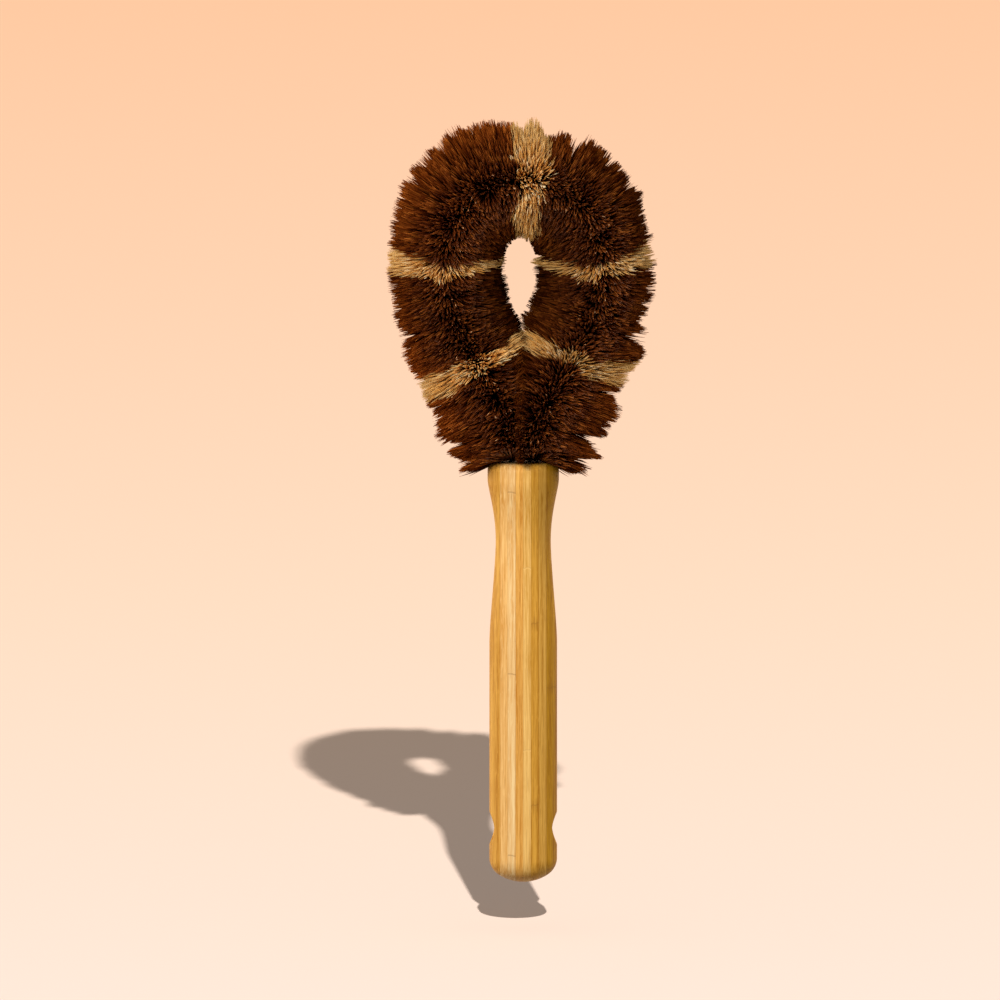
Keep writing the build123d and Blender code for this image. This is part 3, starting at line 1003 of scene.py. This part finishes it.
def fibre_material(name, dark, light, evenness, calm, painted_tip_light, rim, gloss):
    """Plant fibre: each has its own tone, with painted shade towards its root, painted light towards its
    tip and at the outline, and the painted light and shade of its place.
    """
    material, n = new_material(name)
    tone, along = n.attribute("tone"), n.attribute("along")
    facing, bright = n.attribute("facing"), n.attribute("bright")
    sideways = n.minus(1.0, facing)

    patch = n.noise(n.object_place(), PATCH_SCALE, 2.0)
    patch = n.times(n.minus(patch, 0.5), PATCH_DEPTH)
    shade = n.plus(n.times(n.minus(tone, TONE_START), TONE_SPREAD), patch)
    shade = n.math("POWER", n.math("MAXIMUM", shade, 0.0), evenness)
    to_middle = n.times(n.minus(MIDDLE_TONE, shade), calm)
    shade = n.plus(shade, n.times(to_middle, sideways))
    ramp = n.add("ShaderNodeValToRGB", [shade])
    stops = ramp.color_ramp.elements
    for position in RAMP_STOPS:
        stops.new(position)
    for stop in stops:
        stop.color = (*(a * (b / a) ** stop.position for a, b in zip(dark, light)), 1.0)

    # Painted shade at the root end, painted light at the tip, and painted rim light on fibres seen from
    # the side
    painted_along_fibre = n.carried(along, (PAINTED_SHADE_START, 1.0), (PAINTED_ROOT_SHADE, painted_tip_light))
    painted_rim_glow = n.carried(along, (PAINTED_RIM_LIGHT_START, 1.0), (0.0, rim))
    painted_along_fibre = n.plus(painted_along_fibre, n.times(painted_rim_glow, n.math("POWER", sideways, 2.0)))
    pale = n.math("GREATER_THAN", tone, CUT_TONE)
    cut_end = n.times(pale, n.math("GREATER_THAN", facing, CUT_FACING))
    cut_end = n.times(cut_end, n.math("GREATER_THAN", along, CUT_ALONG))
    colour = n.blend(cut_end, ramp.outputs[0], CUT_COLOUR)
    # The painted light and shade above, and that of the route's tables
    colour = n.scaled(colour, n.times(painted_along_fibre, bright))
    colour = n.vector("MINIMUM", colour, LIGHTEST)

    finish = {
        "Base Color": colour,
        "Roughness": FIBRE_ROUGHNESS,
        "Specular IOR Level": n.times(n.math("POWER", facing, 3.0), gloss),
        "Specular Tint": FIBRE_SHINE,
    }
    surface = n.add("ShaderNodeBsdfPrincipled", finish)
    n.add("ShaderNodeOutputMaterial", [surface.outputs[0]])
    return material


def make_runs(kind, material, width):
    """Every fibre run of one kind, cut into pieces that stay light enough."""
    scene = bpy.context.scene
    loop, fibres = scene.brush_loop, scene.brush_fibres
    tree = bpy.data.node_groups.get("Fibre Run") or strand_tree()
    values = {
        "Reach": fibres.reach,
        "Root Radius": fibres.root_radius,
        "Width": width,
        "Clump": fibres.clump,
        "Clump Pull": fibres.clump_pull,
        "Tuft": fibres.tuft,
        "Tuft Pull": fibres.tuft_pull,
        "Bow": fibres.bow,
        "Uneven": fibres.uneven,
        "Ribbon": fibres.ribbon,
        "Edge Gather": fibres.edge_gather,
        "Splay": fibres.splay,
        "Lock Lean": fibres.lock_lean,
        "Ragged": fibres.ragged,
        "Meeting Plane": fibres.meeting,
        "Mingle": fibres.mingle,
        "Material": material,
    }
    cuts = run_cuts(loop)
    for number, (node, start, stop) in enumerate(zip(FIBRE_RUNS, cuts, cuts[1:])):
        if not node.startswith(kind):
            continue
        at_crown = "crown" in node
        values["Comb"] = fibres.crown_comb if at_crown and kind == "coir" else fibres.comb
        share = fibres.crown_share if at_crown else 1.0
        share *= fibres.sisal_share if kind == "sisal" else 1.0
        count = round((stop - start) / MM * fibres.per_mm * share)
        pieces = math.ceil(count / FIBRES_PER_PIECE)
        values["Count"] = count // pieces
        for part in range(pieces):
            a = start + (stop - start) * part / pieces
            b = start + (stop - start) * (part + 1) / pieces
            name = f"{node}_fibres" if pieces == 1 else f"{node}_fibres_{part + 1}"
            values["Seed"] = 100 * (number + 1) + 10 * part
            piece = fibre_piece(name, tree, route_mesh(loop, fibres, node, name, a, b), values)
            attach(piece, BODY)
            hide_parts(node)


class BRUSH_OT_coir(bpy.types.Operator):
    """Makes the dark coir fibres of the head."""

    bl_idname = "brush.coir"
    bl_label = "Coir Fibres"

    def execute(self, context):
        fibres = context.scene.brush_fibres
        # Its painted tip light and painted rim light are set here with its finish
        material = fibre_material(
            "Coconut Coir", fibres.coir_dark, fibres.coir_light,
            evenness=1.15, calm=0.0, painted_tip_light=1.15, rim=0.75, gloss=0.7,
        )
        make_runs("coir", material, fibres.coir_width)
        return {"FINISHED"}


class BRUSH_OT_sisal(bpy.types.Operator):
    """Makes the pale sisal bands of the head."""

    bl_idname = "brush.sisal"
    bl_label = "Sisal Fibres"

    def execute(self, context):
        fibres = context.scene.brush_fibres
        # Its painted tip light and painted rim light are set here with its finish
        material = fibre_material(
            "Raw Sisal", fibres.sisal_dark, fibres.sisal_light,
            evenness=1.1, calm=0.5, painted_tip_light=1.05, rim=0.1, gloss=0.25,
        )
        make_runs("sisal", material, fibres.sisal_width)
        return {"FINISHED"}


# Each slat from left to right: its two colours, how much painted shade darkens it at the handle's top,
# under
# the overhanging fibres, and one knuckle: its height in millimetres, then how strong its lines, its pale
# middle and its brown smudge are
SLAT_LOOKS = [
    ((0.46, 0.18, 0.015), (0.82, 0.43, 0.078), 0.0, None),
    ((0.64, 0.28, 0.045), (1.00, 0.63, 0.240), 0.0, None),
    ((0.72, 0.34, 0.072), (1.00, 0.72, 0.345), 0.0, (121.0, 0.85, 0.10, 0.0)),
    ((0.57, 0.22, 0.023), (0.95, 0.52, 0.125), 0.0, None),
    ((0.62, 0.285, 0.030), (1.00, 0.62, 0.195), 0.0, (93.8, 0.30, 0.60, 0.0)),
    ((0.47, 0.19, 0.012), (0.86, 0.45, 0.066), 0.2, (74.1, 0.55, 0.0, 0.4)),
    ((0.48, 0.21, 0.018), (0.85, 0.48, 0.096), 0.36, None),
    ((0.36, 0.145, 0.006), (0.67, 0.34, 0.022), 0.36, (115.6, 0.35, 0.0, 0.3)),
]
BROWN = (0.24, 0.09, 0.018)
# The colour of the painted shade at the handle's top
PAINTED_SHADE_OLIVE = (0.25, 0.11, 0.002)

# Grain of the bamboo, and the noise of its painted glints: waves per metre across a slat and along it, and
# the detail
GRAIN = {
    "streaks": (1000.0, 12.0, 4.0),
    "threads": (3800.0, 90.0, 2.0),
    "dashes": (2300.0, 150.0, 1.0),
    "glints": (2900.0, 330.0, 1.0),
    "wobble": (700.0, 0.0, 1.0),
}

# How much coarser the grain is from front to back, and how far apart the slats' grains lie
GRAIN_DEPTH_SHARE = 0.25
GRAIN_STEPS = (1.7, 0.9)

# How streaks and threads add up, and where they run from the dark to the light colour
STREAK_SHARE = 0.9
THREAD_SHARE = 0.7
GRAIN_RANGE = (0.58, 1.02)

# Where brown flecks and pale painted glints start and are full, and how strong they are. The glints are a
# painted highlight of the varnish.
FLECK_RANGE = (0.6, 0.72)
FLECK_STRENGTH = 0.2
PAINTED_GLINT_RANGE = (0.56, 0.7)
PAINTED_GLINT_STRENGTH = 0.4

# Heights between which the painted shade of the handle's top comes in, an olive darkening under the
# overhanging fibres
PAINTED_TOP_SHADE_RANGE = (80 * MM, 112 * MM)

# Glue lines, measured from a slat's sides
GLUE_LINE_RANGE = (0.04 * MM, 0.16 * MM)
GLUE_LINE_STRENGTH = 0.24

# Knuckles, measured from their middle: their pale band, their smudge, the line above, the
# line's own width, and how far they waver
KNUCKLE_PALE_RANGE = (0.1 * MM, 0.5 * MM)
KNUCKLE_SMUDGE_RANGE = (0.4 * MM, 3.2 * MM)
KNUCKLE_LINE_ABOVE = 0.3 * MM
KNUCKLE_LINE_RANGE = (0.05 * MM, 0.4 * MM)
KNUCKLE_WOBBLE = 1.6 * MM

# Pores under the varnish, and the varnish's shine
PORE_STRENGTH = 0.15
PORE_DEPTH = 0.05 * MM
VARNISH_SHINE = 0.1


def grain(n, number, name):
    """Noise that is stretched along one slat. Each slat has its own."""
    across, along, detail = GRAIN[name]
    inputs = {
        "Vector": n.object_place(),
        "Location": (number * GRAIN_STEPS[0], number * GRAIN_STEPS[1], 0.0),
        "Scale": (across, across * GRAIN_DEPTH_SHARE, along),
    }
    return n.noise(n.add("ShaderNodeMapping", inputs).outputs[0], 1.0, detail)


def with_knuckles(n, colour, number, light, knuckle, z, spacing):
    """The slat's colour with each knuckle's pale band, brown smudge and fine line."""
    height_mm, line_strength, pale_strength, smudge_strength = knuckle
    wobble = n.times(n.minus(grain(n, number, "wobble"), 0.5), KNUCKLE_WOBBLE)
    shifted = n.minus(n.plus(z, wobble), height_mm * MM)
    turns = n.math("DIVIDE", shifted, spacing)
    above = n.times(n.minus(n.math("FRACT", n.plus(turns, 0.5)), 0.5), spacing)
    away = n.math("ABSOLUTE", above)
    pale = n.carried(away, KNUCKLE_PALE_RANGE, (pale_strength, 0.0))
    colour = n.blend(pale, colour, light)
    smudge = n.carried(away, KNUCKLE_SMUDGE_RANGE, (smudge_strength, 0.0))
    colour = n.blend(n.times(smudge, grain(n, number, "dashes")), colour, BROWN)
    rim = n.math("ABSOLUTE", n.minus(above, KNUCKLE_LINE_ABOVE))
    line = n.carried(rim, KNUCKLE_LINE_RANGE, (line_strength, 0.0))
    return n.blend(n.times(line, grain(n, number, "threads")), colour, BROWN)


def bamboo_material(number, look, low, high, handle):
    """Varnished bamboo with grain along the handle, its knuckles and its glue lines, with painted glints
    and painted shade at the handle's top.
    """
    dark, light, painted_top_shade, knuckle = look
    material, n = new_material(f"Varnished Bamboo {number}")
    place = n.split(n.object_place())
    x, z = place[0], place[2]
    threads = grain(n, number, "threads")

    streaks = n.times(grain(n, number, "streaks"), STREAK_SHARE)
    mixed = n.plus(streaks, n.times(threads, THREAD_SHARE))
    colour = n.blend(n.carried(mixed, GRAIN_RANGE, (0.0, 1.0)), dark, light)
    flecks = n.carried(grain(n, number, "dashes"), FLECK_RANGE, (0.0, FLECK_STRENGTH))
    colour = n.blend(flecks, colour, BROWN)
    # Painted highlight: short pale glints of the varnish, blended into the colour
    shine = n.carried(grain(n, number, "glints"), PAINTED_GLINT_RANGE, (0.0, PAINTED_GLINT_STRENGTH))
    colour = n.blend(shine, colour, light)
    # Painted shade: olive and darker towards the handle's top, under the fibres
    colour = n.blend(n.carried(z, PAINTED_TOP_SHADE_RANGE, (0.0, painted_top_shade)), colour, PAINTED_SHADE_OLIVE)

    to_low, to_high = [n.math("ABSOLUTE", n.minus(x, side)) for side in (low, high)]
    glue = n.math("MINIMUM", to_low, to_high)
    glue = n.carried(glue, GLUE_LINE_RANGE, (GLUE_LINE_STRENGTH, 0.0))
    colour = n.blend(glue, colour, BROWN)
    if knuckle is not None:
        spacing = handle.knuckle_spacing
        colour = with_knuckles(n, colour, number, light, knuckle, z, spacing)

    pores = {"Height": threads, "Strength": PORE_STRENGTH, "Distance": PORE_DEPTH}
    finish = {
        "Base Color": colour,
        "Normal": n.add("ShaderNodeBump", pores).outputs[0],
        "Roughness": handle.roughness,
        "Specular IOR Level": VARNISH_SHINE,
    }
    surface = n.add("ShaderNodeBsdfPrincipled", finish)
    n.add("ShaderNodeOutputMaterial", [surface.outputs[0]])
    return material


def speckled_material(name, scale, dark, light, roughness, metallic):
    """A plain surface with fine speckles between two colours."""
    material, n = new_material(name)
    finish = {
        "Base Color": n.blend(n.noise(n.object_place(), scale, 3.0), dark, light),
        "Metallic": metallic,
        "Roughness": roughness,
    }
    surface = n.add("ShaderNodeBsdfPrincipled", finish)
    n.add("ShaderNodeOutputMaterial", [surface.outputs[0]])
    return material


def steel_material():
    """Drawn steel, a little dull."""
    dark, light = (0.34, 0.33, 0.31), (0.62, 0.61, 0.59)
    return speckled_material("Drawn Steel Wire", 900.0, dark, light, roughness=0.38, metallic=1.0)


def adhesive_material():
    """Hard brown adhesive."""
    dark, light = (0.30, 0.19, 0.08), (0.46, 0.33, 0.17)
    return speckled_material("Set Adhesive", 500.0, dark, light, roughness=0.5, metallic=0.0)


def wear(obj, material):
    """Puts one material on every slot of an object."""
    if not obj.material_slots:
        obj.data.materials.append(material)
    for slot in obj.material_slots:
        slot.material = material


class BRUSH_OT_handle(bpy.types.Operator):
    """Finishes the bamboo slats of the handle."""

    bl_idname = "brush.handle"
    bl_label = "Bamboo Handle"

    def execute(self, context):
        handle = context.scene.brush_handle
        for number, (node, look) in enumerate(zip(SLATS, SLAT_LOOKS), start=1):
            low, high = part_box(node)
            wear(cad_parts[node], bamboo_material(number, look, low.x, high.x, handle))
        return {"FINISHED"}


class BRUSH_OT_wires(bpy.types.Operator):
    """Finishes the twisted wires and the adhesive that holds them."""

    bl_idname = "brush.wires"
    bl_label = "Twisted Wires"

    def execute(self, context):
        steel = steel_material()
        for node in WIRES:
            wear(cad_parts[node], steel)
        wear(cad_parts["socket_glue"], adhesive_material())
        return {"FINISHED"}


# The middle of what the lamps light
LIT_MIDDLE = Vector((0.0, 0.0, 0.12))

# Soft lamps that leave the floor alone: (name, watts, colour, azimuth and elevation in
# degrees, distance and size in metres)
LAMPS = [
    ("Key", 9.5, (1.0, 0.97, 0.93), -29.0, 25.0, 1.1, 0.3),
    ("Fill", 2.6, (1.0, 0.96, 0.92), 38.0, 30.0, 1.2, 0.5),
    ("Left Rim", 6.0, (1.0, 0.95, 0.88), -112.0, 14.0, 1.2, 0.5),
    ("Right Rim", 5.0, (1.0, 0.95, 0.88), 100.0, 34.0, 1.2, 0.5),
]

# The sun that lights only the floor, and so casts the brush's shadow there. Its azimuth
# and elevation are in degrees.
SUN_STRENGTH = 5.25
SUN_AZIMUTH = 4.05
SUN_ELEVATION = 25.95
SUN_DISTANCE = 3.0
SUN_ANGLE = math.radians(0.7)

# The even light of the room, what stands behind the floor, and the grey of the floor's
# own reflection, so that it doesn't tint the brush
ROOM_COLOUR = (1.0, 0.98, 0.96, 1.0)
ROOM_LIGHT = 0.305
BACKDROP_RGB = (255, 204, 167)
FLOOR_BOUNCE = (0.24, 0.22, 0.20, 1.0)

# Tones of the paper from far to near: (place down the picture, screen colour)
PAPER_TONES = [
    (0.0, (255, 200, 161)),
    (0.3, (255, 210, 177)),
    (0.6, (255, 221, 194)),
    (1.0, (255, 232, 216)),
]

# Half the floor's side, and how far the camera sees, in metres
FLOOR_REACH = 60.0
SIGHT = 200.0


def around(target, azimuth, elevation, distance):
    """A place round the target: azimuth 0 is in front and 90 on the right."""
    a, e = math.radians(azimuth), math.radians(elevation)
    way = Vector((math.sin(a) * math.cos(e), -math.cos(a) * math.cos(e), math.sin(e)))
    return target + way * distance


def placed(name, data, place, target):
    """Adds a lamp or a camera that looks at the target."""
    obj = bpy.data.objects.new(name, data)
    bpy.context.collection.objects.link(obj)
    obj.location = place
    obj.rotation_euler = (target - place).to_track_quat("-Z", "Y").to_euler()
    return obj


def soft_lamps():
    """The lamps of the brush itself."""
    lamps = []
    for name, watts, colour, azimuth, elevation, distance, size in LAMPS:
        data = bpy.data.lights.new(name, "AREA")
        data.energy, data.color, data.size = watts, colour, size
        place = around(LIT_MIDDLE, azimuth, elevation, distance)
        lamps.append(placed(name, data, place, LIT_MIDDLE))
    return lamps


def shadow_lamp():
    """The sun of the floor's shadow."""
    data = bpy.data.lights.new("Shadow Lamp", "SUN")
    data.energy, data.angle = SUN_STRENGTH, SUN_ANGLE
    place = around(LIT_MIDDLE, SUN_AZIMUTH, SUN_ELEVATION, SUN_DISTANCE)
    return placed("Shadow Lamp", data, place, LIT_MIDDLE)


def share_light(floor, sun, lamps):
    """The sun lights only the floor, and the soft lamps light everything else."""
    floor_only = bpy.data.collections.new("Lit by the shadow lamp")
    floor_only.objects.link(floor)
    sun.light_linking.receiver_collection = floor_only
    for lamp in lamps:
        others = bpy.data.collections.new(f"Lit by {lamp.name}")
        others.objects.link(floor)
        lamp.light_linking.receiver_collection = others
        for item in others.collection_objects:
            item.light_linking.link_state = "EXCLUDE"


def srgb(red, green, blue):
    """A screen colour as the linear one that the nodes take."""
    def linear(value):
        value /= 255
        return value / 12.92 if value <= 0.04045 else ((value + 0.055) / 1.055) ** 2.4
    return (linear(red), linear(green), linear(blue), 1.0)


def seen_directly(n):
    """1 where the camera looks, also by way of a shiny or clear surface, and else 0."""
    path = n.add("ShaderNodeLightPath").outputs
    by_way = n.math("MAXIMUM", path["Is Glossy Ray"], path["Is Transmission Ray"])
    return n.math("MAXIMUM", path["Is Camera Ray"], by_way)


def floor_material(camera_place, distance, floor_z, stage):
    """Pale paper, from cream near the camera to peach far away, which takes the shadow."""
    material, n = new_material("Peach Paper")
    drop = camera_place.z - floor_z
    away = n.minus(n.split(n.object_place())[1], camera_place.y)
    near = n.math("DIVIDE", drop, n.math("MAXIMUM", away, drop))
    half = math.atan(IMAGE_SIZE * stage.pixel / 2 / distance)
    top = math.tan(stage.elevation - half)
    bottom = math.tan(stage.elevation + half)
    ramp = n.add("ShaderNodeValToRGB", [n.carried(near, (top, bottom), (0.0, 1.0))])
    stops = ramp.color_ramp.elements
    stops[0].color, stops[1].color = srgb(*PAPER_TONES[0][1]), srgb(*PAPER_TONES[-1][1])
    for position, rgb in PAPER_TONES[1:-1]:
        stops.new(position).color = srgb(*rgb)
    paper = n.add("ShaderNodeBsdfDiffuse", [ramp.outputs[0]]).outputs[0]
    grey = n.add("ShaderNodeBsdfDiffuse", [FLOOR_BOUNCE]).outputs[0]
    mixed = n.add("ShaderNodeMixShader", [seen_directly(n), grey, paper])
    n.add("ShaderNodeOutputMaterial", [mixed.outputs[0]])
    return material


def make_floor(camera_place, distance, stage):
    """The floor, under the hanging brush."""
    floor_z = butt_end - stage.floor_gap
    corners = [(-1, -1), (1, -1), (1, 1), (-1, 1)]
    mesh = bpy.data.meshes.new("Floor")
    mesh.from_pydata(
        [(x * FLOOR_REACH, y * FLOOR_REACH, floor_z) for x, y in corners], [], [(0, 1, 2, 3)]
    )
    mesh.materials.append(floor_material(camera_place, distance, floor_z, stage))
    floor = bpy.data.objects.new("Floor", mesh)
    bpy.context.collection.objects.link(floor)
    return floor


def room_world():
    """Even light from all sides, with the plain backdrop for the camera."""
    world = bpy.data.worlds.new("Studio")
    world.use_nodes = True
    n = Nodes(world.node_tree)
    room = n.add("ShaderNodeBackground", [ROOM_COLOUR, ROOM_LIGHT]).outputs[0]
    backdrop = n.add("ShaderNodeBackground", [srgb(*BACKDROP_RGB), 1.0]).outputs[0]
    mixed = n.add("ShaderNodeMixShader", [seen_directly(n), room, backdrop])
    n.add("ShaderNodeOutputWorld", [mixed.outputs[0]])
    return world


class BRUSH_OT_stage(bpy.types.Operator):
    """Makes the floor, the lamps, the world and the camera."""

    bl_idname = "brush.stage"
    bl_label = "Studio Stage"

    def execute(self, context):
        scene, stage = context.scene, context.scene.brush_stage
        scene.view_settings.view_transform = "Standard"
        x = (IMAGE_SIZE / 2 - HANDLE_AXIS_PX) * stage.pixel
        z = (HANGING_HOLE_PX - IMAGE_SIZE / 2) * stage.pixel / math.cos(stage.elevation)
        picture_middle = Vector((x, 0.0, z))
        data = bpy.data.cameras.new("Camera")
        data.lens, data.clip_end = stage.lens, SIGHT
        distance = stage.lens / data.sensor_width * IMAGE_SIZE * stage.pixel
        place = around(picture_middle, 0.0, math.degrees(stage.elevation), distance)
        scene.camera = placed("Camera", data, place, picture_middle)

        floor = make_floor(place, distance, stage)
        lamps, sun = soft_lamps(), shadow_lamp()
        scene.world = room_world()
        share_light(floor, sun, lamps)
        return {"FINISHED"}


class BRUSH_PT_panel(bpy.types.Panel):
    """Lists the brush's pieces and their sizes."""

    bl_idname = "BRUSH_PT_panel"
    bl_label = "Dish Brush"
    bl_space_type = "VIEW_3D"
    bl_region_type = "UI"
    bl_category = "Dish Brush"

    def draw(self, context):
        for operator in OPERATORS:
            self.layout.operator(operator.bl_idname)
        for name, group in SETTINGS.items():
            box = self.layout.box()
            for key in group.__annotations__:
                box.prop(getattr(context.scene, name), key)


SETTINGS = {
    "brush_loop": BrushLoop,
    "brush_fibres": BrushFibres,
    "brush_handle": BrushHandle,
    "brush_stage": BrushStage,
}
OPERATORS = [
    BRUSH_OT_stage,
    BRUSH_OT_handle,
    BRUSH_OT_wires,
    BRUSH_OT_coir,
    BRUSH_OT_sisal,
]


def register():
    """Adds the settings, the operators and the panel."""
    for item in (*SETTINGS.values(), *OPERATORS, BRUSH_PT_panel):
        bpy.utils.register_class(item)
    for name, group in SETTINGS.items():
        setattr(bpy.types.Scene, name, bpy.props.PointerProperty(type=group))


def unregister():
    """Takes them all out again."""
    for name in SETTINGS:
        delattr(bpy.types.Scene, name)
    for item in reversed((*SETTINGS.values(), *OPERATORS, BRUSH_PT_panel)):
        bpy.utils.unregister_class(item)


def main():
    """Makes the whole scene."""
    register()
    bpy.ops.brush.stage()
    bpy.ops.brush.handle()
    bpy.ops.brush.wires()
    bpy.ops.brush.coir()
    bpy.ops.brush.sisal()


if __name__ == "__main__":
    main()
